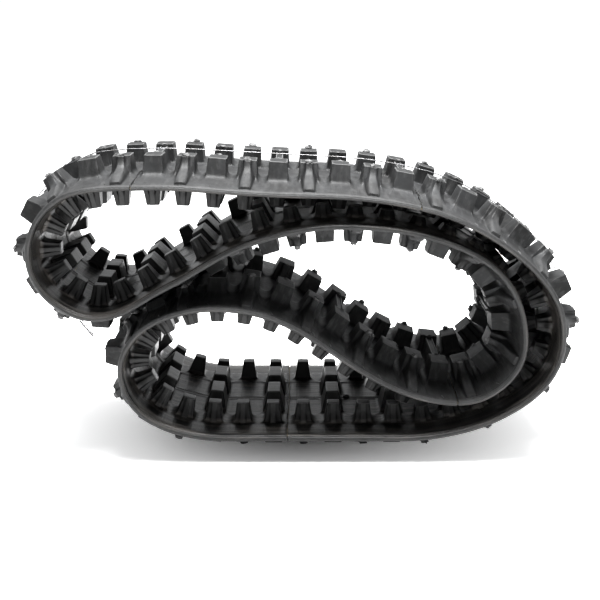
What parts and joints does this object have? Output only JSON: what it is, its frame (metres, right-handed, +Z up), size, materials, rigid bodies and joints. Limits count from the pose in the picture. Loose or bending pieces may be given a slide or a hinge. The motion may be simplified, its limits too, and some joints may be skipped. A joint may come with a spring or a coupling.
{
  "type": "rubber track",
  "caption": "Endless rubber track with tread lugs outside and drive lugs inside, folded into three layers for storage and held by one lengthwise tie wire.",
  "frame": {"origin": "centre of the folded track's footprint, on the plane its lowest tread lugs stand on", "axes": "+X along the fold's length, towards the single big bend; +Y across the belt; +Z up from the floor"},
  "size_m": [0.6882, 0.3174, 0.3634],
  "materials": {
    "track_rubber": "moulded black rubber, softly satin, with flow streaks and release marks on the drive side",
    "glass_fibre": "plain drawn glass-fibre rod",
    "cord_ply": "dipped cord fabric",
    "steel_wire": "bright drawn soft steel wire"
  },
  "bodies": {
    "track": {"carcass_section_01": "track_rubber", "carcass_section_02": "track_rubber", "carcass_section_03": "track_rubber", "carcass_section_04": "track_rubber", "carcass_section_05": "track_rubber", "carcass_section_06": "track_rubber", "carcass_section_07": "track_rubber", "carcass_section_08": "track_rubber", "carcass_section_09": "track_rubber", "carcass_section_10": "track_rubber", "carcass_section_11": "track_rubber", "carcass_section_12": "track_rubber", "carcass_section_13": "track_rubber", "carcass_section_14": "track_rubber", "carcass_section_15": "track_rubber", "carcass_section_16": "track_rubber", "carcass_section_17": "track_rubber", "carcass_section_18": "track_rubber", "carcass_section_19": "track_rubber", "stiffener_rod_01": "glass_fibre", "stiffener_rod_02": "glass_fibre", "stiffener_rod_03": "glass_fibre", "stiffener_rod_04": "glass_fibre", "stiffener_rod_05": "glass_fibre", "stiffener_rod_06": "glass_fibre", "stiffener_rod_07": "glass_fibre", "stiffener_rod_08": "glass_fibre", "stiffener_rod_09": "glass_fibre", "stiffener_rod_10": "glass_fibre", "stiffener_rod_11": "glass_fibre", "stiffener_rod_12": "glass_fibre", "stiffener_rod_13": "glass_fibre", "stiffener_rod_14": "glass_fibre", "stiffener_rod_15": "glass_fibre", "stiffener_rod_16": "glass_fibre", "stiffener_rod_17": "glass_fibre", "stiffener_rod_18": "glass_fibre", "stiffener_rod_19": "glass_fibre", "stiffener_rod_20": "glass_fibre", "stiffener_rod_21": "glass_fibre", "stiffener_rod_22": "glass_fibre", "stiffener_rod_23": "glass_fibre", "stiffener_rod_24": "glass_fibre", "stiffener_rod_25": "glass_fibre", "stiffener_rod_26": "glass_fibre", "stiffener_rod_27": "glass_fibre", "stiffener_rod_28": "glass_fibre", "stiffener_rod_29": "glass_fibre", "stiffener_rod_30": "glass_fibre", "stiffener_rod_31": "glass_fibre", "stiffener_rod_32": "glass_fibre", "stiffener_rod_33": "glass_fibre", "stiffener_rod_34": "glass_fibre", "stiffener_rod_35": "glass_fibre", "stiffener_rod_36": "glass_fibre", "tension_ply": "cord_ply"},
    "tie_wire": {"tie_wire": "steel_wire", "wire_twist": "steel_wire"}
  },
  "joints": [
    {"name": "tie_wire_slide", "type": "slide", "parent": "track", "child": "tie_wire", "axis": [0, 1, 0], "range_m": [-0.035, 0.035]}
  ]
}
